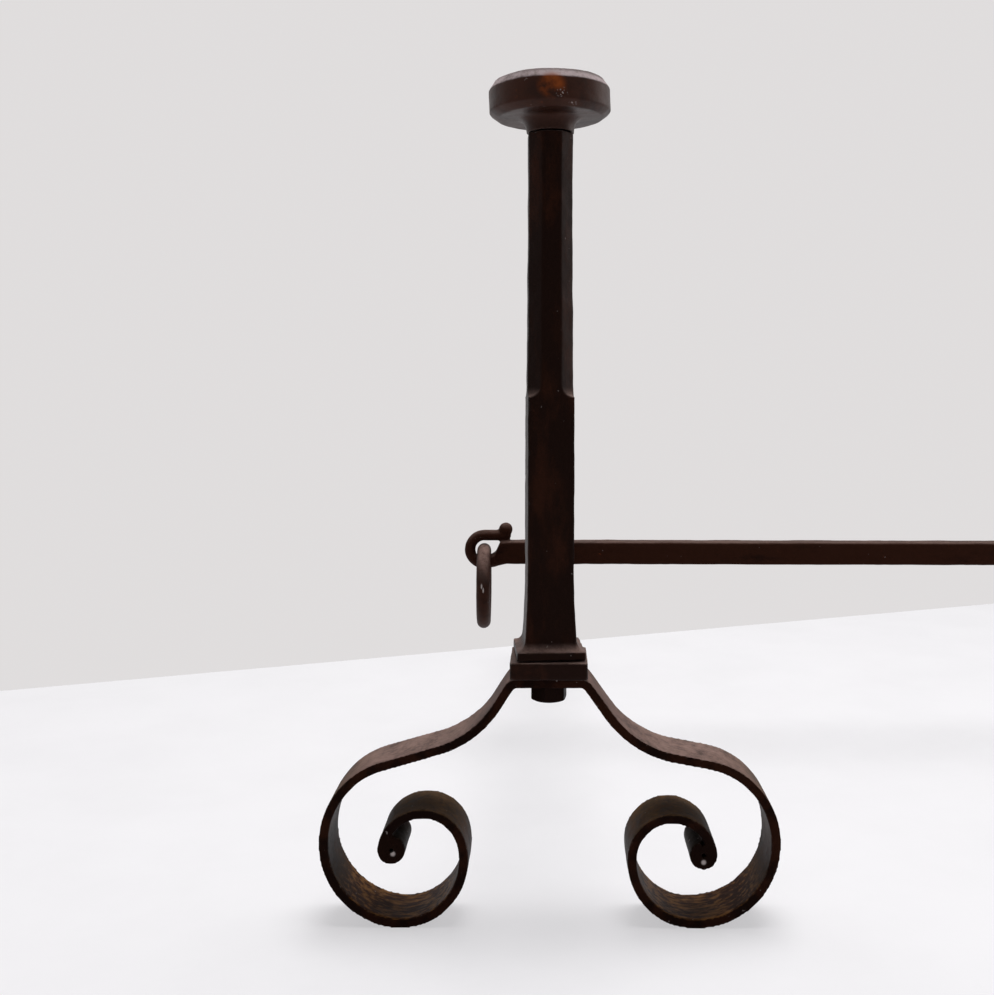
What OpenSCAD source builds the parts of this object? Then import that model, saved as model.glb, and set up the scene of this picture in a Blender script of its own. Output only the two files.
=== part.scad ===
// A forged andiron with a square post, scrolled front legs, a log bar and a loose ringed crossbar.
// +X is to the right seen from the front, +Y to the back of the hearth, +Z up, in millimetres.
// The origin is the centre of the rear foot's sole, on the hearth.

/* [Overall] */
// Distance between the post axis and the rear leg axis
reach = 735; // [450:5:900]
// Height of the underside of the scroll strip below the post
seat_h = 168; // [164:0.5:220]

/* [Post] */
// Side of the square stock
post_w = 33.5; // [30:0.5:38]
// Width across the flats of the chamfered upper length, where it is slimmest
waist_w = 31.8; // [26:0.2:33]
// Height of the post, from its foot to the shoulder under the finial
post_h = 373; // [300:1:460]
// Height of the chamfer stops above the foot of the post
stop_z = 185; // [120:1:220]
// Height over which a chamfer stop runs out
stop_run = 8; // [5:0.5:14]
// Where the upper length is slimmest, as a part of its own height
waist_part = 0.7; // [0.4:0.05:0.9]
// How far each side swells again from there to the head
head_swell = 0.4; // [0:0.1:1]
// Turn of the post on the pieces below it, seen from above
post_turn = 5; // [0:1:8]
// Side of the foot plate forged on the post
plate_w = 49; // [45:0.5:54]
// Thickness of the foot plate
plate_t = 6.5; // [4:0.5:9]
// Height of the hollow flare above the foot plate
flare_h = 6.5; // [4:0.5:12]
// How far each side of the post swells towards the flare
swell = 1.8; // [0:0.1:2.5]
// Height over which the post swells
swell_h = 52; // [30:1:70]
// Width taken off the sharp corners of the post
post_edge = 0.9; // [0.4:0.1:1.6]
// Radius of the tenon below the post
tenon_r = 8; // [6:0.25:9]
// Radius of the tenon that holds the finial
rivet_r = 9; // [6:0.25:12]

/* [Finial] */
// Radius of the disc
disc_r = 43.8; // [32:0.2:55]
// Thickness of the disc
disc_t = 26.5; // [20:0.5:36]
// Height of the upper bevel
top_bevel_h = 6.5; // [2:0.25:8]
// Width of the upper bevel
top_bevel = 4.3; // [2:0.1:7]
// Height of the lower bevel
under_bevel_h = 4.5; // [2:0.25:6]
// Width of the lower bevel
under_bevel = 6; // [2:0.1:8]
// Radius of the neck where it meets the post
neck_r = 17.2; // [16:0.2:20]
// Height of the neck
neck_h = 10.5; // [6:0.5:16]
// How far the neck flares out under the disc
neck_flare = 6; // [2:0.5:9]
// Lean of the finial to the left, from being knocked
disc_lean = 1.2; // [0:0.1:2]

/* [Log bar] */
// Side of the square stock of the log bar and its rear leg
bar_w = 24; // [18:0.5:30]
// Height of the bar's axis above the middle of its pad
bar_lift = -2.25; // [-4:0.25:2]
// Side of the flattened pad under the post
pad_w = 55; // [52:0.5:62]
// Thickness of the pad
pad_t = 12.5; // [9:0.5:16]
// Length over which the pad draws in to the bar
pad_run = 30; // [22:1:45]
// Size of the rounded shoulders where it draws in
pad_ease = 4; // [2:0.5:5]
// Radius of the outer corner where the bar turns down into the leg
knee_out = 7; // [3:0.5:12]
// Radius of the inner corner of that turn
knee_in = 5; // [2:0.5:10]
// Side of the foot upset on the rear leg
foot_w = 39; // [30:0.5:48]
// Height of the foot's flare
foot_h = 22; // [14:1:32]
// Height of the foot's bevel above the hearth
foot_bevel = 4; // [2:0.5:6]
// Width taken off the bar's long edges
bar_edge = 1.4; // [0.4:0.1:2.4]

/* [Scroll legs] */
// Width of the strip, front to back
strip_w = 40; // [30:1:48]
// Thickness of the strip
strip_t = 7; // [4.5:0.25:7.5]
// Half the length of the flat seat between the two shoulders
seat_half = 21; // [17:0.5:26]
// Bend radius at the shoulders, on the middle of the strip
shoulder_r = 9; // [7:0.5:14]
// Bend radius of the hollow below the shoulders
hollow_r = 73; // [60:1:80]
// Bend radius of the outer loop
loop_r = 56; // [54:0.5:60]
// Bend radius where the loop closes in
close_r = 44; // [42:0.5:47]
// Bend radius of the inner turn
turn_r = 28.5; // [27:0.5:30]
// Bend radius of the rolled tip
tip_r = 6.5; // [6:0.25:7.5]
// Radius of the eye left in the rolled tip
tip_eye = 1.4; // [0.8:0.1:2.5]
// Depth worn flat under each scroll
sole_wear = 0.5; // [0.3:0.1:1.2]

/* [Nut] */
// Width of the nut across its flats
nut_af = 24; // [22:0.5:30]
// Thickness of the nut
nut_t = 13; // [8:0.5:16]
// Radius of the nut's flat lower face, inside its bevel
nut_face = 11; // [10:0.5:12]
// Height of that bevel
nut_bevel = 2; // [1:0.25:3]
// Turn of the nut, seen from above
nut_turn = 21; // [0:1:30]
// How far the tenon shows below the nut
tenon_end = 1; // [0.5:0.25:4]

/* [Crossbar] */
// Distance between the two andirons that the crossbar lies on
pair_gap = 504; // [360:2:700]
// Distance of the crossbar behind the post axis
cross_set = 394; // [150:2:600]
// Length of full section beyond the axis of each andiron
cross_over = 46; // [30:1:80]
// Side of the crossbar's square stock
cross_w = 24; // [20:0.5:28]
// Width taken off the crossbar's long edges
cross_edge = 1.2; // [0.4:0.1:1.6]
// Radius of the round wire in the end curls
wire_r = 6; // [5:0.1:6.4]
// Radius of the hole in the end curls
eye_r = 9; // [8.8:0.1:12]
// Length over which the stock draws down into the curl
draw_l = 24.4; // [24:0.1:34]
// Radius of the ball on the tip of each curl
ball_r = 7.7; // [6.5:0.1:9]
// Distance of the ball's centre beyond the full section
ball_set = 1.3; // [0:0.1:4]
// Height of the ball above the stock
ball_lift = 4.1; // [1:0.1:5]

/* [Rings] */
// Outer radius of each ring
ring_r = 45; // [36:0.5:60]
// Radius of the ring's round wire
ring_wire = 7.5; // [5.5:0.25:8]
// Turn of each ring where it hangs, seen from above
ring_turn = 2; // [0:0.5:5]

/* [Hidden] */
$fn = 64;

// Clearance round a tenon in the piece that it holds
tenon_gap = 0.05;
// Clearance below a ring where it hangs in its eye
hang_gap = 0.3;
// Depth to which the tail of a curl is welded into the stock
tail_sink = 0.4;
// Step left on the surface where one drawn stretch of a forging meets the next
weld_step = 0.1;
// Height left above the post's head before it is cut to the lean of the finial
head_spare = 1;
// Thin slice that stands for a cross-section inside a hull
slice = 0.01;
// Larger than any cross-section, for the cutters
wide = 90;

post_y = -reach;
pad_z = seat_h + strip_t;
foot_z = pad_z + pad_t;
bar_z = pad_z + pad_t / 2 + bar_lift;
bar_top = bar_z + bar_w / 2;
cross_y = post_y + cross_set;
cross_z = bar_top + cross_w / 2;
post_half = post_w / 2;
plate_half = plate_w / 2;
waist_half = waist_w / 2;
crown_h = neck_h + disc_t;
curl_r = eye_r + wire_r;
curl_x = cross_over + draw_l;
curl_z = cross_z + cross_w / 2 - tail_sink + wire_r - curl_r;
ring_drop = hang_gap + ring_wire - eye_r;
curl_drop = cross_z - cross_w / 2 - (curl_z - curl_r - wire_r);

iron = "#3a302c";
worn_iron = "#4a4441";
rusty_iron = "#5b3c2c";

// Stations along the drawn end of the crossbar, as parts of: its length, the drop of its
// underside, the drop of its top and the narrowing of its sides
draw_steps = [[0, 0, 0, 0], [0.29, 0.32, 0, 0.25], [0.5, 0.64, 0.65, 0.6]];
// Strip from the shoulder to the tip: the turn of each bend, minus for clockwise
right_turns = [-54, 43, -174, -88, -169, -265];
left_turns = [-58, 42, -156, -113, -157, -265];
// Length of the straight stretch between the hollow and the outer loop
right_haunch = 27;
left_haunch = 41;
// Largest turn between two points of a bend, and of the tightly rolled tip
bend_step = 5;
tip_step = 12;

// Each step of the strip is [bend radius, turn], or [0, length] where it is straight
function steps(turns, slope, haunch) = [
    [shoulder_r, turns[0]], [0, slope], [hollow_r, turns[1]], [0, haunch],
    [loop_r, turns[2]], [close_r, turns[3]], [turn_r, turns[4]], [tip_r, turns[5]]];

// Points [x, z, heading] on the middle of the strip, from the end of the seat
function walk(list, i = 0, x = seat_half, z = 0, h = 0) = i == len(list) ? [] :
    let (r = list[i][0], turn = list[i][1], s = sign(turn),
         n = ceil(abs(turn) / (r > strip_t * 2 ? bend_step : tip_step)),
         cx = x - s * r * sin(h), cz = z + s * r * cos(h),
         bent = [for (k = [1 : n]) let (g = h + turn * k / n)
                 [cx + s * r * sin(g), cz - s * r * cos(g), g]],
         part = r == 0 ? [[x + turn * cos(h), z + turn * sin(h), h]] : bent,
         last = part[len(part) - 1])
    concat(part, walk(list, i + 1, last[0], last[1], last[2]));

// The path moved sideways, to the left of its heading
function beside(line, d) = [for (p = line) [p[0] - d * sin(p[2]), p[1] + d * cos(p[2])]];

// The steep stretch is as long as it takes to bring the loop down to the hearth
function lowest(line) = min([for (p = beside(line, strip_t / 2)) p[1]]);
function steep(turns, haunch) =
    (seat_h + strip_t / 2 + sole_wear + lowest(walk(steps(turns, 0, haunch))))
    / sin(-turns[0]);
function strip_path(turns, haunch) = concat([[seat_half, 0, 0]],
    walk(steps(turns, steep(turns, haunch), haunch)));

function backwards(list) = [for (i = [len(list) - 1 : -1 : 0]) list[i]];
function flipped(list) = [for (p = list) [-p[0], p[1]]];

function mirrored(half) = concat(half, backwards(flipped(half)));

// A rectangle with its corners taken off
function clipped(a, b, c) = [
    [a / 2 - c, b / 2], [a / 2, b / 2 - c], [a / 2, c - b / 2], [a / 2 - c, -b / 2],
    [c - a / 2, -b / 2], [-a / 2, c - b / 2], [-a / 2, b / 2 - c], [c - a / 2, b / 2]];

// A hollow quarter curve from [r0, z0] out at the foot to [r1, z1] above it
function hollow(r0, z0, r1, z1) =
    [for (t = [0 : 15 : 90]) [r1 + (r0 - r1) * (1 - sin(t)), z0 + (z1 - z0) * (1 - cos(t))]];

// Half the width of the post's lower length, over its height
foot_side = concat(
    [[plate_half, 0]],
    hollow(plate_half, plate_t, post_half + swell, plate_t + flare_h),
    [for (u = [0.2 : 0.2 : 1])
        [post_half + swell * (1 - u) * (1 - u), plate_t + flare_h + swell_h * u]]);
upper_side = [[waist_half, stop_z + waist_part * (post_h - stop_z)],
              [waist_half + head_swell, post_h + head_spare]];
flat_side = concat(foot_side, [[post_half, stop_z]], upper_side);
function corner(half) = half * sqrt(2) - post_edge;
diagonal_side = concat(
    [for (p = foot_side) [corner(p[0]), p[1]]],
    hollow(corner(post_half), stop_z, post_half, stop_z + stop_run),
    upper_side);

module slab(profile) {
    rotate([90, 0, 0])
        linear_extrude(wide, center = true)
            polygon(mirrored(profile));
}

module post_shaft() {
    intersection() {
        slab(flat_side);
        rotate([0, 0, 90]) slab(flat_side);
        rotate([0, 0, 45]) slab(diagonal_side);
        rotate([0, 0, -45]) slab(diagonal_side);
    }
}

// Stands its children on the head of the post
module on_head() {
    translate([0, 0, post_h]) rotate([0, -disc_lean, 0]) children();
}

module post() {
    tenon_l = foot_z - seat_h + nut_t + tenon_end;
    color(iron)
        translate([0, post_y, foot_z]) {
            difference() {
                rotate([0, 0, post_turn]) post_shaft();
                on_head() cylinder(r = wide, h = wide);
            }
            translate([0, 0, -tenon_l]) cylinder(r = tenon_r, h = tenon_l + plate_t);
            on_head() translate([0, 0, -rivet_r]) cylinder(r = rivet_r, h = rivet_r + crown_h);
        }
}

module finial_disc() {
    hole = rivet_r + tenon_gap;
    outline = concat(
        [[hole, 0], [neck_r, 0]],
        [for (t = [0 : 15 : 90]) [neck_r + neck_flare * (1 - cos(t)), neck_h * sin(t)]],
        [[disc_r - under_bevel, neck_h],
         [disc_r, neck_h + under_bevel_h],
         [disc_r, crown_h - top_bevel_h],
         [disc_r - top_bevel, crown_h],
         [hole, crown_h]]);
    color(iron)
        translate([0, post_y, foot_z])
            on_head() rotate_extrude() polygon(outline);
}

// Square stock along +X, with its edges taken off
module stock(length, side, edge) {
    rotate([90, 0, 90])
        linear_extrude(length) polygon(clipped(side, side, edge));
}

module bar_pad() {
    half = pad_w / 2;
    end = half + pad_run;
    plan = [[half - bar_edge, -half], [half, bar_edge - half], [half, half - pad_ease],
            [half - pad_ease, half], [bar_w / 2 + pad_ease / 2, end - 2 * pad_ease],
            [bar_w / 2, end]];
    side = [[-half, 0], [half, 0], [end, bar_z - pad_z - bar_w / 2],
            [end, bar_top - pad_z], [half, pad_t], [-half, pad_t]];
    intersection() {
        linear_extrude(wide, center = true) polygon(mirrored(plan));
        rotate([90, 0, 90]) linear_extrude(wide, center = true) polygon(side);
    }
}

// The rear leg and its corner, drawn as a side outline along +Y
module leg_side() {
    half = bar_w / 2;
    difference() {
        union() {
            translate([-half, 0]) square([bar_w, bar_top - knee_out]);
            translate([-half, 0]) square([bar_w - knee_out, bar_top]);
            translate([half - knee_out, bar_top - knee_out]) circle(knee_out);
            translate([-half - knee_in, bar_z - half - knee_in])
                square([knee_in, bar_w + knee_in]);
        }
        translate([-half - knee_in, bar_z - half - knee_in]) circle(knee_in);
    }
}

module foot() {
    side = concat(
        [[foot_w / 2 - foot_bevel / 2, 0], [foot_w / 2, foot_bevel]],
        hollow(foot_w / 2, foot_bevel, bar_w / 2, foot_h));
    intersection() {
        slab(side);
        rotate([0, 0, 90]) slab(side);
    }
}

module log_bar() {
    half = bar_w / 2;
    bar_start = post_y + pad_w / 2 + pad_run - weld_step;
    bar_end = weld_step - knee_in - half;
    color(rusty_iron) {
        difference() {
            translate([0, post_y, pad_z]) bar_pad();
            translate([0, post_y, pad_z - slice])
                cylinder(r = tenon_r + tenon_gap, h = pad_t + 2 * slice);
        }
        translate([0, bar_start, bar_z])
            rotate([0, 0, 90]) stock(bar_end - bar_start, bar_w, bar_edge);
        intersection() {
            rotate([90, 0, 90]) linear_extrude(bar_w, center = true) leg_side();
            linear_extrude(bar_top)
                polygon([[bar_edge - half, half], [-half, half - bar_edge],
                         [-half, -half - knee_in], [half, -half - knee_in],
                         [half, half - bar_edge], [half - bar_edge, half]]);
        }
        foot();
    }
}

// A round bar across the strip at the middle of a rolled tip; side is 1 or -1
module across_tip(line, side, radius) {
    middle = beside([line[len(line) - 1]], -tip_r)[0];
    translate([side * middle[0], middle[1], 0])
        cylinder(r = radius, h = strip_w, center = true);
}

module scroll_legs() {
    right = strip_path(right_turns, right_haunch);
    left = strip_path(left_turns, left_haunch);
    half = strip_t / 2;
    color(worn_iron)
        difference() {
            translate([0, post_y, seat_h + half])
                rotate([90, 0, 0])
                    difference() {
                        union() {
                            linear_extrude(strip_w, center = true)
                                polygon(concat(
                                    backwards(beside(right, -half)),
                                    flipped(beside(left, -half)),
                                    backwards(flipped(beside(left, half))),
                                    beside(right, half)));
                            across_tip(right, 1, tip_r);
                            across_tip(left, -1, tip_r);
                        }
                        across_tip(right, 1, tip_eye);
                        across_tip(left, -1, tip_eye);
                    }
            translate([-reach, post_y - wide, -wide]) cube([2 * reach, 2 * wide, wide]);
            translate([0, post_y, seat_h - slice])
                cylinder(r = tenon_r + tenon_gap, h = strip_t + 2 * slice);
        }
}

module nut() {
    bevel_r = nut_face + 2 * nut_bevel;
    color(iron)
        translate([0, post_y, seat_h - nut_t])
            difference() {
                intersection() {
                    rotate(nut_turn) cylinder(d = nut_af / cos(30), h = nut_t, $fn = 6);
                    rotate_extrude()
                        polygon([[0, 0], [nut_face, 0], [bevel_r, nut_bevel], [bevel_r, nut_t],
                                 [0, nut_t]]);
                }
                translate([0, 0, -slice])
                    cylinder(r = tenon_r + tenon_gap, h = nut_t + 2 * slice);
            }
}

// The crossbar's section at one of the stations of its drawn end, moved along by a little
module draw_section(i, along) {
    part = draw_steps[i];
    low = -cross_w / 2 - part[1] * curl_drop;
    high = cross_w / 2 - part[2] * (cross_w - 2 * wire_r + curl_drop);
    depth = cross_w - part[3] * (cross_w - 2 * wire_r);
    translate([part[0] * draw_l + along, 0, (low + high) / 2])
        rotate([90, 0, 90])
            linear_extrude(slice) polygon(clipped(depth, high - low, (i + 1) * cross_edge));
}

// The eye, and the room that the ring's bent wire takes on both sides of it as it swings
module eye_room() {
    bend_r = ring_r - ring_wire;
    half = cross_w / 2;
    near = ring_wire + hang_gap / 2;
    sag = bend_r - sqrt(bend_r * bend_r - half * half) + half * tan(ring_turn);
    rotate([90, 0, 0]) cylinder(r = eye_r - 2 * weld_step, h = cross_w, center = true);
    for (side = [-90, 90])
        translate([0, 0, ring_drop]) rotate([side, 0, 0])
            cylinder(r1 = near, r2 = near + sag, h = half);
}

// One end of the crossbar: the stock draws down into round wire, which curls up and back
// over itself to a ball. The full section ends at the origin and the curl lies along +X.
module curled_end() {
    rise = curl_z - cross_z;
    difference() {
        union() {
            for (i = [0, 1]) hull() {
                draw_section(i, 0);
                draw_section(i + 1, -slice);
            }
            hull() {
                draw_section(2, 0);
                translate([draw_l - slice, 0, rise - curl_r])
                    rotate([0, 90, 0]) cylinder(r = wire_r + weld_step, h = slice, $fn = 32);
            }
        }
        translate([draw_l, 0, rise]) eye_room();
    }
    translate([draw_l, 0, rise])
        rotate([90, 0, 0])
            rotate([0, 0, -90])
                rotate_extrude(angle = 180, $fn = 96) translate([curl_r, 0]) circle(wire_r);
    translate([ball_set, 0, rise + curl_r]) {
        rotate([0, 90, 0]) cylinder(r = wire_r, h = draw_l - ball_set);
        sphere(wire_r + weld_step);
    }
    translate([ball_set, 0, cross_w / 2 + ball_r + ball_lift]) sphere(ball_r);
}

module cross_bar() {
    length = pair_gap + 2 * cross_over;
    color(rusty_iron)
        translate([-cross_over, cross_y, cross_z]) {
            stock(length, cross_w, cross_edge);
            translate([length, 0, 0]) curled_end();
            mirror([1, 0, 0]) curled_end();
        }
}

// A ring that hangs in the eye of a curl, at x
module ring(x) {
    bend_r = ring_r - ring_wire;
    color(worn_iron)
        translate([x, cross_y, curl_z + ring_drop - bend_r])
            rotate([0, 90, ring_turn])
                rotate_extrude($fn = 96) translate([bend_r, 0]) circle(ring_wire);
}

module ring_left() {
    ring(-curl_x);
}

module ring_right() {
    ring(pair_gap + curl_x);
}

post();
finial_disc();
log_bar();
scroll_legs();
nut();
cross_bar();
ring_left();
ring_right();
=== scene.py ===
import math

import bmesh
import bpy
from bpy.props import FloatProperty, FloatVectorProperty, PointerProperty
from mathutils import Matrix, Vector


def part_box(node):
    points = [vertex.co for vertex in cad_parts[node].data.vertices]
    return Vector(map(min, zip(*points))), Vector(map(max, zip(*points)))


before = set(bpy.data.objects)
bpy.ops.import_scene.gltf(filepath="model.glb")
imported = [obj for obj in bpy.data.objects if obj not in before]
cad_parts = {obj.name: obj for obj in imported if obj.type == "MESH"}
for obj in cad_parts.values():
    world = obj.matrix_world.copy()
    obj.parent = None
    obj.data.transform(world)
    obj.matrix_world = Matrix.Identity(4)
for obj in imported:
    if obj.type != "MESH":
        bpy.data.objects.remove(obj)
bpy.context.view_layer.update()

bl_info = {
    "name": "Forged Andiron",
    "version": (1, 0, 0),
    "blender": (4, 5, 0),
    "location": "View3D > Sidebar > Andiron",
    "description": "Dresses a forged andiron and its loose crossbar in worn iron",
    "category": "Object",
}

MM = 0.001


def mm(*sizes):
    """Sizes or places in millimetres, as a vector in metres."""
    return tuple(size * MM for size in sizes)


# ---------------------------------------------------------------- settings


def length(name, description, default):
    """A setting that is a length in metres."""
    return FloatProperty(name=name, description=description, default=default,
                         min=0.0, precision=5, unit="LENGTH")


def paint(name, description, default):
    """A setting that is a colour."""
    return FloatVectorProperty(name=name, description=description, default=default,
                               size=3, min=0.0, max=1.0, subtype="COLOR")


def share(name, description, default):
    """A setting from 0 to 1."""
    return FloatProperty(name=name, description=description, default=default, min=0.0, max=1.0)


def turn(name, description, degrees):
    """A setting that is an angle."""
    return FloatProperty(name=name, description=description, default=math.radians(degrees),
                         subtype="ANGLE")


def power(name, description, default):
    """A setting that is a lamp's power in watts."""
    return FloatProperty(name=name, description=description, default=default,
                         min=0.0, unit="POWER")


class ForgeSettings(bpy.types.PropertyGroup):
    grain: length("Grain", "Cell size of the forged surface", 1.0 * MM)
    hammer_depth: length("Hammer depth", "Depth of the hammer's marks", 0.7 * MM)
    hammer_size: length("Hammer size", "Breadth of the hammer's marks", 22 * MM)
    pit_depth: length("Pit depth", "Depth of the fine scale on the iron", 0.25 * MM)
    pit_size: length("Pit size", "Breadth of the fine scale", 4 * MM)


class IronSettings(bpy.types.PropertyGroup):
    black: paint("Black iron", "Oxide on faces that nothing rubs", (0.0050, 0.0022, 0.0016))
    brown: paint("Brown iron", "Patina over the oxide", (0.021, 0.0068, 0.0036))
    rust: paint("Rust", "Orange rust on faces that damp has reached", (0.260, 0.058, 0.010))
    golden: paint("Golden rust", "Rust where the iron has lain damp", (0.165, 0.076, 0.024))
    # Also the colour of the painted glints at the scrolls' eyes
    bright: paint("Worn iron", "Iron that handling has rubbed bare", (0.34, 0.30, 0.29))
    # The grey, olive and pale films are dry film and a painted sheen that lightens the faces that
    # look up
    grey_sheen_film: paint("Grey iron", "Dry film on the upper faces", (0.230, 0.153, 0.132))
    olive_sheen_film: paint("Olive iron", "The same film near the hearth", (0.100, 0.061, 0.034))
    # Painted highlight on the finial's bevel, with some wear
    pale_sheen_film: paint("Pale iron", "Film on the finial's bevel", (0.37, 0.305, 0.31))
    glint: paint("Glint", "Tint of the light that the oxide throws back", (1.0, 0.55, 0.45))
    cloud_size: length("Clouds", "Breadth of the broad patches of patina", 46 * MM)
    blotch_size: length("Blotches", "Breadth of the patches of rust and film", 13 * MM)
    run_size: length("Runs", "Breadth of the streaks of golden rust", 3.2 * MM)
    flake_size: length("Flakes", "Breadth of the cells that hold a bright flake", 3.6 * MM)
    speck_size: length("Specks", "Breadth of the cells that hold a worn speck", 1.4 * MM)
    grit_size: length("Grit", "Breadth of the finest grit", 1.1 * MM)


class StageSettings(bpy.types.PropertyGroup):
    floor: paint("Floor", "Colour of the floor", (0.86, 0.85, 0.87))
    wall: paint("Wall", "Colour behind the object", (0.745, 0.725, 0.725))
    patch_size: length("Patches", "Breadth of the floor's faint patches", 160 * MM)
    evenness: share("Evenness", "Share of the floor that no lamp shades", 0.6)
    sweep: length("Sweep", "Distance at which the floor has run out into the wall", 4.5)
    wall_set: length("Setback", "Distance of the wall behind the rear foot's middle", 114 * MM)
    wall_turn: turn("Turn of the wall", "Its turn from square to the camera", 21.7)
    distance: length("Distance", "Camera's distance in front of the post", 803.3 * MM)
    height: length("Height", "Camera's height over the hearth", 378.7 * MM)
    aside: length("Aside", "Camera's place to the right of the post", 1.7 * MM)
    roll: turn("Roll", "Camera's roll", 0.15)
    roof_power: power("Roof light", "Power of the broad lamp overhead", 58)
    side_power: power("Side light", "Power of the lamp at the right", 7)
    room: share("Room", "Strength of the room's own light from the back", 0.58)
    room_front: share("Room's front", "Strength of the room's own light from the front", 0.05)


# ---------------------------------------------------------------- shader maths


class Value:
    """A shader's socket. A sum written on it adds Math nodes beside it."""

    def __init__(self, finish, socket):
        self.finish = finish
        self.socket = socket

    def sum(self, operation, first, second):
        return self.finish.node("ShaderNodeMath", {"operation": operation}, {0: first, 1: second})

    def __add__(self, other):
        return self.sum("ADD", self, other)

    def __sub__(self, other):
        return self.sum("SUBTRACT", self, other)

    def __rsub__(self, other):
        return self.sum("SUBTRACT", other, self)

    def __mul__(self, other):
        return self.sum("MULTIPLY", self, other)

    __radd__ = __add__
    __rmul__ = __mul__


class Finish:
    """The node tree of a material or of the world."""

    def __init__(self, block):
        block.use_nodes = True
        self.tree = block.node_tree
        self.tree.nodes.clear()

    def node(self, kind, settings, inputs, out=0):
        """Adds a node, sets it up and joins its sockets, and gives back one of its outputs."""
        made = self.tree.nodes.new(kind)
        for key, setting in settings.items():
            setattr(made, key, setting)
        for key, given in inputs.items():
            if isinstance(given, Value):
                self.tree.links.new(given.socket, made.inputs[key])
            else:
                made.inputs[key].default_value = given
        return Value(self, made.outputs[out]) if len(made.outputs) else None

    def noise(self, place, size, detail=3.0, roughness=0.55):
        """Noise about 0.5, with blotches of that size in metres."""
        return self.node("ShaderNodeTexNoise", {}, {
            "Vector": place, "Scale": 1 / size, "Detail": detail, "Roughness": roughness})

    def rise(self, value, low, high):
        """0 below low and 1 above high, and smooth between them."""
        return self.node("ShaderNodeMapRange", {"interpolation_type": "SMOOTHSTEP"}, {
            "Value": value, "From Min": low, "From Max": high})

    def mix(self, cover, under, over):
        """One colour laid over another, which it hides where cover is 1."""
        return self.node("ShaderNodeMix", {"data_type": "RGBA"},
                         {0: cover, 6: tint(under), 7: tint(over)}, out=2)

    def stretched(self, place, along):
        """Places scaled by axis. Noise on them runs in streaks along an axis with less than 1."""
        return self.node("ShaderNodeVectorMath", {"operation": "MULTIPLY"}, {0: place, 1: along})

    def near(self, place, point, reach):
        """1 at a point and 0 beyond its reach, which may differ by axis."""
        offset = self.node("ShaderNodeVectorMath", {"operation": "SUBTRACT"}, {0: place, 1: point})
        scaled = self.node("ShaderNodeVectorMath", {"operation": "DIVIDE"}, {0: offset, 1: reach})
        gone = self.node("ShaderNodeVectorMath", {"operation": "LENGTH"}, {0: scaled}, out="Value")
        return 1 - self.rise(gone, 0.35, 1.0)


def tint(colour):
    """A plain colour with its alpha, or a socket as it is."""
    return colour if isinstance(colour, Value) else (*colour, 1.0)


# ---------------------------------------------------------------- finishes


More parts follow.
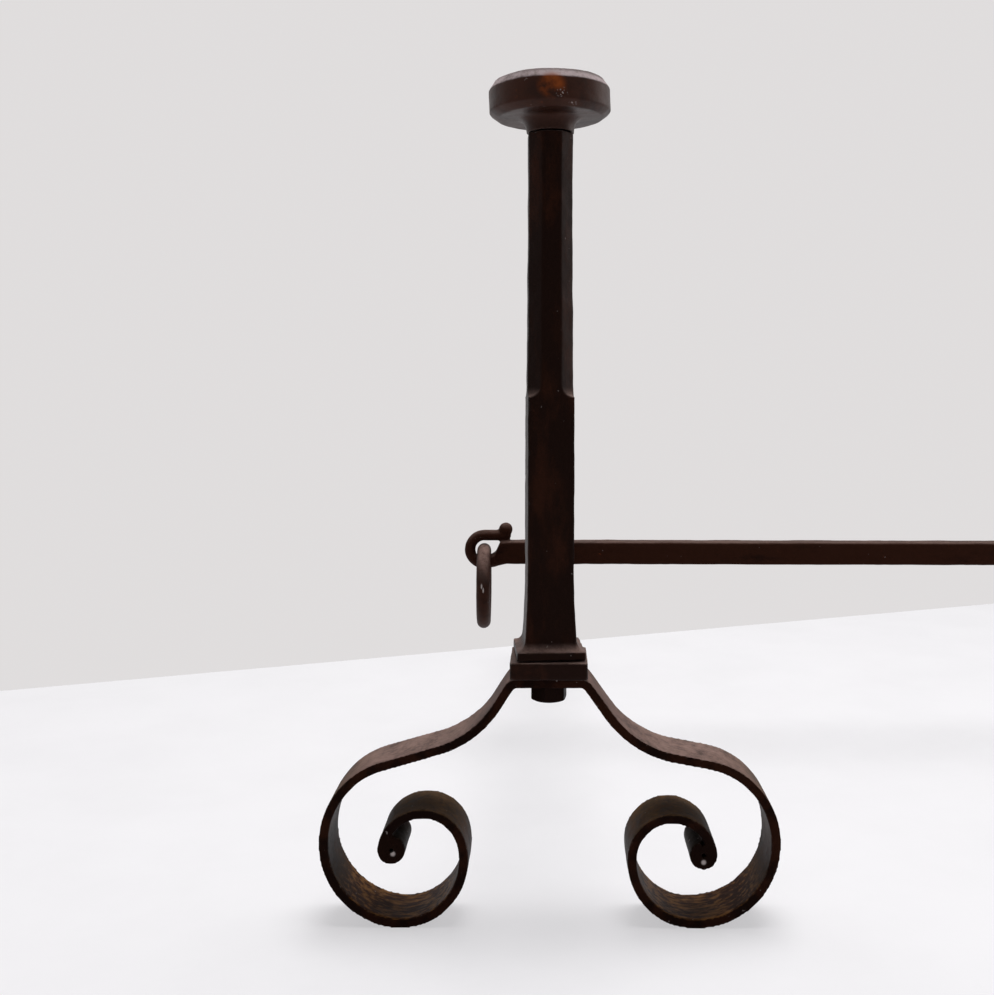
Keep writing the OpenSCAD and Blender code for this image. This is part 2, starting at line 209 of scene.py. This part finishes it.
class Iron(Finish):
    """Worn black iron, whose coats are laid on from the black oxide up."""

    def __init__(self, name, streaks):
        self.material = bpy.data.materials.new(name)
        super().__init__(self.material)
        self.paints = bpy.context.scene.iron
        self.forging = bpy.context.scene.forge
        self.place = self.node("ShaderNodeTexCoord", {}, {}, out="Object")
        facing = self.node("ShaderNodeTexCoord", {}, {}, out="Normal")
        self.up = self.node("ShaderNodeSeparateXYZ", {}, {0: facing}, out=2)
        drawn = self.stretched(self.place, streaks)
        self.clouds = self.noise(drawn, self.paints.cloud_size, 5.0, 0.6)
        self.blotches = self.noise(drawn, self.paints.blotch_size, 6.0, 0.62)
        self.scale = self.noise(self.place, self.forging.pit_size, 6.0, 0.7)
        self.colour = self.paints.black

    def coat(self, cover, over):
        """Lays a colour over the coats that are there."""
        self.colour = self.mix(cover, self.colour, over)

    def patina(self, brown, rust):
        """Brown patina in broad patches, and rust in small ones."""
        broad = self.clouds * 0.6 + self.blotches * 0.4
        browned = self.rise(broad, 0.60 - 0.22 * brown, 0.74 - 0.22 * brown)
        self.coat(browned * min(1.0, 0.5 + brown), self.paints.brown)
        small = self.blotches * 0.55 + self.scale * 0.45
        rusted = self.rise(small, 0.68 - 0.2 * rust, 0.78 - 0.2 * rust)
        self.coat(rusted * (0.35 + 0.5 * rust), self.paints.rust)

    def dry_film_and_sheen(self, grey_sheen_film, full, colour, damp):
        """Dry film with a painted sheen on the faces that look up, made lighter as light from
        above would make them; it is whole on those that do so by full.
        """
        patches = self.rise(self.scale * 0.5 + self.blotches * 0.5, 0.22, 0.68)
        # Painted sheen: the more a face looks up, the lighter it is painted
        self.sheen_film = self.rise(self.up, 0.1, full) * grey_sheen_film * patches
        if damp:
            colour = self.golden_rust(damp, colour)
        self.coat(self.node("ShaderNodeClamp", {}, {"Value": self.sheen_film}), colour)

    def golden_rust(self, damp, dry):
        """Golden rust, in place of the film and its painted sheen under the height damp, and in
        streaks in it above.

        Gives back the colour of the film and its painted sheen, which is the dry one from three
        times that height up."""
        height = self.node("ShaderNodeSeparateXYZ", {}, {0: self.place}, out=2)
        along = self.stretched(self.place, (0.25, 1.0, 1.0))
        runs = self.noise(along, self.paints.run_size, 5.0, 0.6)
        golden = self.rise(runs + self.clouds * 0.5, 0.66, 0.94)
        low = (1 - self.rise(height, 0.5 * damp, damp)) * self.rise(self.up, 0.1, 0.6)
        self.sheen_film = self.sheen_film * (1 - low)
        self.coat(low * 0.85, self.paints.brown)
        self.coat(low * golden, self.paints.golden)
        stained = self.mix(golden * 0.5, self.paints.olive_sheen_film, self.paints.golden)
        return self.mix(self.rise(height, 2 * damp, 3 * damp), stained, dry)

    def wear(self, worn):
        """Metal rubbed bare on the edges, and thin bright flakes all over."""
        sharp = self.node("ShaderNodeNewGeometry", {}, {}, out="Pointiness")
        patches = self.rise(self.scale + self.blotches * 0.5, 0.62, 0.95)
        flakes = self.noise(self.place, self.paints.flake_size, 2.0, 0.4)
        flakes = self.rise(flakes, 0.755, 0.78) * min(1.0, worn)
        self.rubbed_and_glint = self.rise(sharp, 0.53, 0.62) * patches * worn + flakes * 0.35

    def spots(self, marks):
        """Single marks, each a kind, a point and a reach: rust; soot and painted shade, laid on
        dark; worn metal in specks; bare metal and painted glints, laid on whole.
        """
        for kind, point, reach in marks:
            spot = self.near(self.place, point, reach)
            if kind == "rust":
                self.coat(spot * self.rise(self.blotches, 0.32, 0.68), self.paints.rust)
            # Soot, and painted shade in hollows and under parts
            elif kind == "soot_and_shade":
                self.coat(spot * 0.85, self.paints.black)
            elif kind == "worn":
                self.rubbed_and_glint = self.rubbed_and_glint + spot * self.specks()
            # Bare metal, and painted glints where a highlight stands
            elif kind == "bare_and_glint":
                self.rubbed_and_glint = self.rubbed_and_glint + spot
            else:
                raise ValueError(f"No such mark: {kind}")

    def specks(self):
        """Fine specks of bare metal all over."""
        return self.rise(self.noise(self.place, self.paints.speck_size, 1.0), 0.56, 0.68)

    def finished(self, dull, shine):
        """Gives back the material, with its rubbed metal, its painted glints and the relief of its
        scale.
        """
        rubbed_and_glint = self.node("ShaderNodeClamp", {}, {"Value": self.rubbed_and_glint})
        self.coat(rubbed_and_glint, self.paints.bright)
        grit = self.noise(self.place, self.paints.grit_size, 2.0)
        relief = self.scale * 0.6 + grit * 0.25 + self.blotches * 0.5
        bump = self.node("ShaderNodeBump", {}, {
            "Strength": 0.55, "Distance": 2 * self.forging.pit_depth, "Height": relief})
        roughness = dull + self.scale * 0.22 - rubbed_and_glint * 0.15 + self.sheen_film * 0.30 - 0.08
        shader = self.node("ShaderNodeBsdfPrincipled", {}, {
            "Base Color": self.colour, "Roughness": roughness, "Metallic": rubbed_and_glint * 0.6,
            "Specular IOR Level": shine, "Specular Tint": tint(self.paints.glint),
            "Normal": bump})
        self.node("ShaderNodeOutputMaterial", {}, {"Surface": shader})
        return self.material


def iron(name, brown, rust, grey_sheen_film, worn, dull=0.46, shine=0.14, sheen_film_full=0.95, sheen_film_colour=None,
         streaks=(1.0, 1.0, 1.0), marks=(), damp=0.0):
    """Worn black iron, with as much patina, rust, dry film with painted sheen, rubbed metal and
    painted glint as the numbers say.

    The film and its painted sheen are whole on faces that look up by sheen_film_full, and golden
    under the height damp. Dull and shine are the roughness and the mirror light of the oxide, and
    streaks scales the places of the patina by axis."""
    finish = Iron(name, streaks)
    finish.patina(brown, rust)
    finish.dry_film_and_sheen(grey_sheen_film, sheen_film_full, sheen_film_colour or finish.paints.grey_sheen_film, damp)
    finish.wear(worn)
    finish.spots(marks)
    return finish.finished(dull, shine)


def seen_ray(finish):
    """1 for the rays that show the background, straight, mirrored or through glass."""
    rays = [finish.node("ShaderNodeLightPath", {}, {}, out=f"Is {kind} Ray")
            for kind in ("Camera", "Glossy", "Transmission")]
    return finish.node("ShaderNodeClamp", {}, {"Value": rays[0] + rays[1] + rays[2]})


def pale_floor(stage):
    """Pale floor that keeps part of the shadows and runs out into the wall's colour far away."""
    material = bpy.data.materials.new("Floor")
    finish = Finish(material)
    place = finish.node("ShaderNodeTexCoord", {}, {}, out="Object")
    patches = finish.rise(finish.noise(place, stage.patch_size, 6.0, 0.6), 0.3, 0.8)
    darker = [0.93 * part for part in stage.floor]
    shade = finish.mix(patches * 0.5, stage.floor, darker)
    lit = finish.node("ShaderNodeBsdfPrincipled", {}, {
        "Base Color": shade, "Roughness": 0.6, "Specular IOR Level": 0.2})
    seen = seen_ray(finish)
    even = finish.node("ShaderNodeEmission", {}, {"Color": shade})
    near = finish.node("ShaderNodeMixShader", {}, {0: seen * stage.evenness, 1: lit, 2: even})
    far = 1 - finish.near(place, (0.0, 0.0, 0.0), (stage.sweep,) * 3)
    wall = finish.node("ShaderNodeEmission", {}, {"Color": tint(stage.wall)})
    shader = finish.node("ShaderNodeMixShader", {}, {0: seen * far, 1: near, 2: wall})
    finish.node("ShaderNodeOutputMaterial", {}, {"Surface": shader})
    return material


def one_sided_wall(stage):
    """Wall that shows from its front, and lets light and the view from behind through."""
    material = bpy.data.materials.new("Wall")
    finish = Finish(material)
    behind = finish.node("ShaderNodeNewGeometry", {}, {}, out="Backfacing")
    seen = finish.node("ShaderNodeLightPath", {}, {}, out="Is Camera Ray")
    clear = finish.node("ShaderNodeBsdfTransparent", {}, {})
    wall = finish.node("ShaderNodeEmission", {}, {"Color": tint(stage.wall)})
    shader = finish.node("ShaderNodeMixShader", {}, {0: seen * (1 - behind), 1: clear, 2: wall})
    finish.node("ShaderNodeOutputMaterial", {}, {"Surface": shader})
    return material


# ---------------------------------------------------------------- forging


# Share of the depth of each mark that lies below the surface as it was
SUNK = 0.85


def marks_of_the_hammer(piece, name, depth, size):
    """Sinks soft marks of one depth and breadth into a piece."""
    texture = bpy.data.textures.new(f"{piece.name} {name}", "CLOUDS")
    texture.noise_scale = size
    texture.noise_depth = 1
    sunk = piece.modifiers.new(name, "DISPLACE")
    sunk.texture = texture
    sunk.texture_coords = "LOCAL"
    sunk.strength = depth
    sunk.mid_level = SUNK


def forge(node, material, grain=1.0, softness=2, depth=1.0, keep=0.5):
    """Gives a CAD node the eased edges and hammered faces of forged iron, and its finish.

    The grain and the depth are shares of the settings, softness is how often the edges are
    eased, and keep is the share of the faces that is kept."""
    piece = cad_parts[node]
    forging = bpy.context.scene.forge
    seams = piece.modifiers.new("Seams", "WELD")
    seams.merge_threshold = 0.01 * MM
    surface = piece.modifiers.new("Grain", "REMESH")
    surface.mode = "VOXEL"
    surface.voxel_size = grain * forging.grain
    surface.use_smooth_shade = True
    eased = piece.modifiers.new("Eased edges", "SMOOTH")
    eased.factor = 0.5
    eased.iterations = softness
    marks_of_the_hammer(piece, "Hammer", depth * forging.hammer_depth, forging.hammer_size)
    marks_of_the_hammer(piece, "Scale", depth * forging.pit_depth, 2 * forging.pit_size)
    lighter = piece.modifiers.new("Fewer faces", "DECIMATE")
    lighter.ratio = keep
    piece.data.materials.clear()
    piece.data.materials.append(material)


class ForgePost(bpy.types.Operator):
    """Dresses the post in dark drawn iron"""
    bl_idname = "andiron.post"
    bl_label = "Post"

    def execute(self, context):
        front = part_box("post")[0].y
        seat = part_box("scroll_legs")[1].z
        # A dark band across the front of the post's foot, just over the legs' seat
        foot = ("soot_and_shade", (0, front, seat + 15.5 * MM), mm(60, 8, 6))
        finish = iron("Post iron", brown=0.5, rust=0.12, grey_sheen_film=0.8, worn=0.8, dull=0.40,
                      shine=0.08, streaks=(1.0, 1.0, 0.35), marks=[foot])
        forge("post", finish)
        return {"FINISHED"}


class ForgeFinial(bpy.types.Operator):
    """Dresses the disc on the post's head"""
    bl_idname = "andiron.finial"
    bl_label = "Finial"

    def execute(self, context):
        low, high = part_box("finial_disc")
        front, middle, top = low.y, (low.y + high.y) / 2, high.z
        # Darker top face and rim
        rim = ("soot_and_shade", (0, middle, top), mm(110, 110, 4.5))
        # Painted shade on the disc's underside round the neck, where the post shades it
        neck = ("soot_and_shade", (-3 * MM, middle, low.z), mm(40, 40, 20))
        scorch = ("soot_and_shade", (-7 * MM, front, top - 16.3 * MM), mm(16, 12, 10))
        rust = ("rust", (1 * MM, front, top - 13.3 * MM), mm(12, 12, 11))
        specks = ("worn", (8 * MM, front, top - 18.8 * MM), mm(5, 12, 4.5))
        scratch = ("worn", (17 * MM, front, top - 24.8 * MM), mm(6, 12, 1.6))
        blot = ("soot_and_shade", (23 * MM, front + 47 * MM, top - 27.3 * MM), mm(3.5, 3, 3))
        # The pale film paints a highlight on the bevel, with some wear
        finish = iron("Finial iron", brown=0.9, rust=0.3, grey_sheen_film=1.3, worn=0.9, dull=0.38,
                      shine=0.24, sheen_film_full=0.5, sheen_film_colour=context.scene.iron.pale_sheen_film,
                      marks=(rim, neck, scorch, rust, specks, scratch, blot))
        forge("finial_disc", finish, softness=1)
        return {"FINISHED"}


class ForgeScrolls(bpy.types.Operator):
    """Dresses the scrolled legs"""
    bl_idname = "andiron.scrolls"
    bl_label = "Scrolled legs"

    def execute(self, context):
        low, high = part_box("scroll_legs")
        middle = (low.y + high.y) / 2
        left_eye, right_eye = mm(-108.9, 51.8), mm(108.8, 46.4)
        marks = []
        for x, z in (left_eye, right_eye):
            # Painted shade inside each curl, round its eye, where little light reaches
            marks.append(("soot_and_shade", (x, middle, z + 6 * MM), mm(22, 100, 26)))
            # Painted highlight: a bright spot of bare metal at each tip's eye, where the light
            # glints
            marks.append(("bare_and_glint", (x, low.y, z), mm(2.4, 6, 2.4)))
        finish = iron("Scroll iron", brown=0.75, rust=0.25, grey_sheen_film=1.0, worn=1.0, shine=0.04,
                      streaks=(1.0, 0.6, 1.0), marks=marks, damp=40 * MM)
        forge("scroll_legs", finish, softness=1, depth=0.8)
        return {"FINISHED"}


class ForgeNut(bpy.types.Operator):
    """Dresses the nut under the legs"""
    bl_idname = "andiron.nut"
    bl_label = "Nut"

    def execute(self, context):
        # Near-black iron with little film: painted shade under the legs
        finish = iron("Nut iron", brown=0.2, rust=0.1, grey_sheen_film=0.2, worn=0.4, shine=0.06)
        forge("nut", finish, grain=0.6, depth=0.5, keep=1.0)
        return {"FINISHED"}


class ForgeBars(bpy.types.Operator):
    """Dresses the log bar and the crossbar"""
    bl_idname = "andiron.bars"
    bl_label = "Bars"

    def execute(self, context):
        log_bar = iron("Log bar iron", brown=0.6, rust=0.3, grey_sheen_film=0.6, worn=0.8, shine=0.12,
                       streaks=(1.0, 0.35, 1.0))
        cross_bar = iron("Crossbar iron", brown=1.3, rust=0.3, grey_sheen_film=0.35, worn=0.9, dull=0.6,
                         shine=0.08, streaks=(0.35, 1.0, 1.0))
        forge("log_bar", log_bar, grain=1.3)
        forge("cross_bar", cross_bar, grain=1.1)
        return {"FINISHED"}


class ForgeRings(bpy.types.Operator):
    """Dresses the two rings in the crossbar's eyes, and scratches the left one"""
    bl_idname = "andiron.rings"
    bl_label = "Rings"

    def execute(self, context):
        low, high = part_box("ring_left")
        middle = (low + high) / 2
        scratch = mm(1.1, 6, 3.6)
        marks = [("bare_and_glint", (middle.x, low.y, middle.z + 6.6 * MM), scratch),
                 ("bare_and_glint", (middle.x + 1.8 * MM, low.y, middle.z + 2.6 * MM), scratch)]
        finish = iron("Ring iron", brown=1.0, rust=0.3, grey_sheen_film=0.8, worn=1.0, dull=0.56,
                      shine=0.16, marks=marks)
        for side in ("left", "right"):
            forge(f"ring_{side}", finish, grain=0.9, depth=0.6)
        return {"FINISHED"}


# ---------------------------------------------------------------- stage


def softbox(name, place, aim, size, watts):
    """A square lamp at one point that faces another."""
    lamp = bpy.data.lights.new(name, "AREA")
    lamp.size = size
    lamp.energy = watts
    box = bpy.data.objects.new(name, lamp)
    box.location = place
    box.rotation_euler = (Vector(aim) - Vector(place)).to_track_quat("-Z", "Y").to_euler()
    bpy.context.scene.collection.objects.link(box)


class SetStage(bpy.types.Operator):
    """Lays the floor, sets the wall, lights the object and places the camera"""
    bl_idname = "andiron.stage"
    bl_label = "Stage"

    def execute(self, context):
        stage = context.scene.stage
        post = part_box("post")
        axis = (post[0] + post[1]) / 2
        self.lay_floor(stage)
        self.set_wall(stage)
        self.light(stage, axis)
        self.place_camera(stage, axis)
        context.scene.view_settings.view_transform = "Standard"
        return {"FINISHED"}

    def sheet(self, name, material, reach):
        """A square sheet of the stage, level about the origin, that goes out to reach."""
        mesh = bpy.data.meshes.new(name)
        grid = bmesh.new()
        bmesh.ops.create_grid(grid, x_segments=1, y_segments=1, size=reach)
        grid.to_mesh(mesh)
        grid.free()
        mesh.materials.append(material)
        piece = bpy.data.objects.new(name, mesh)
        bpy.context.scene.collection.objects.link(piece)
        return piece

    def lay_floor(self, stage):
        """Lays the floor out to beyond its sweep."""
        reach = 6.0
        self.sheet("Floor", pale_floor(stage), reach)

    def set_wall(self, stage):
        """Stands the wall on the floor behind the rear foot."""
        reach = 5.0
        wall = self.sheet("Wall", one_sided_wall(stage), reach)
        wall.rotation_euler = (math.pi / 2, 0, stage.wall_turn)
        wall.location = (-stage.wall_set * math.sin(stage.wall_turn),
                         stage.wall_set * math.cos(stage.wall_turn), reach)

    def light(self, stage, axis):
        """Hangs a broad lamp overhead and a weak one at the right, and lights the room itself."""
        softbox("Roof light", (0.2, axis.y + 0.3, 2.4), axis, 1.5, stage.roof_power)
        softbox("Side light", (2.2, axis.y + 0.9, 0.9), axis, 1.2, stage.side_power)
        world = bpy.data.worlds.new("Room")
        bpy.context.scene.world = world
        finish = Finish(world)
        heading = finish.node("ShaderNodeTexCoord", {}, {}, out="Generated")
        behind = finish.node("ShaderNodeSeparateXYZ", {}, {0: heading}, out=1)
        room = stage.room_front + finish.rise(behind, -0.35, 0.45) * stage.room
        seen = seen_ray(finish)
        colour = finish.mix(seen, (1.0, 0.98, 0.98), stage.wall)
        shade = finish.node("ShaderNodeBackground", {}, {
            "Color": colour, "Strength": seen + (1 - seen) * room})
        finish.node("ShaderNodeOutputWorld", {}, {"Surface": shade})

    def place_camera(self, stage, axis):
        """Looks level at the post, past the middle of an image that is 994 pixels wide."""
        side, focal, centre_x, centre_y = 994, 1119, 552, 387
        camera = bpy.data.cameras.new("Camera")
        camera.sensor_fit = "HORIZONTAL"
        camera.sensor_width = 36.0
        camera.lens = camera.sensor_width * focal / side
        camera.shift_x = (side / 2 - centre_x) / side
        camera.shift_y = (centre_y - side / 2) / side
        camera.clip_start = 10 * MM
        eye = bpy.data.objects.new("Camera", camera)
        eye.location = (stage.aside, axis.y - stage.distance, stage.height)
        eye.rotation_euler = (math.pi / 2, -stage.roll, 0)
        bpy.context.scene.collection.objects.link(eye)
        bpy.context.scene.camera = eye


class AndironPanel(bpy.types.Panel):
    """The andiron's pieces and its stage"""
    bl_idname = "VIEW3D_PT_andiron"
    bl_label = "Andiron"
    bl_space_type = "VIEW_3D"
    bl_region_type = "UI"
    bl_category = "Andiron"

    def draw(self, context):
        for group in ("forge", "iron", "stage"):
            settings = getattr(context.scene, group)
            box = self.layout.box()
            for key in settings.__annotations__:
                box.prop(settings, key)
        for operator in OPERATORS:
            self.layout.operator(operator.bl_idname)


OPERATORS = (ForgePost, ForgeFinial, ForgeScrolls, ForgeNut, ForgeBars, ForgeRings, SetStage)
GROUPS = {"forge": ForgeSettings, "iron": IronSettings, "stage": StageSettings}


def register():
    for made in (*GROUPS.values(), *OPERATORS, AndironPanel):
        bpy.utils.register_class(made)
    for name, group in GROUPS.items():
        setattr(bpy.types.Scene, name, PointerProperty(type=group))


def unregister():
    for name in GROUPS:
        delattr(bpy.types.Scene, name)
    for made in (AndironPanel, *reversed(OPERATORS), *reversed(list(GROUPS.values()))):
        bpy.utils.unregister_class(made)


def main():
    register()
    for operator in OPERATORS:
        group, name = operator.bl_idname.split(".")
        getattr(getattr(bpy.ops, group), name)()


if __name__ == "__main__":
    main()
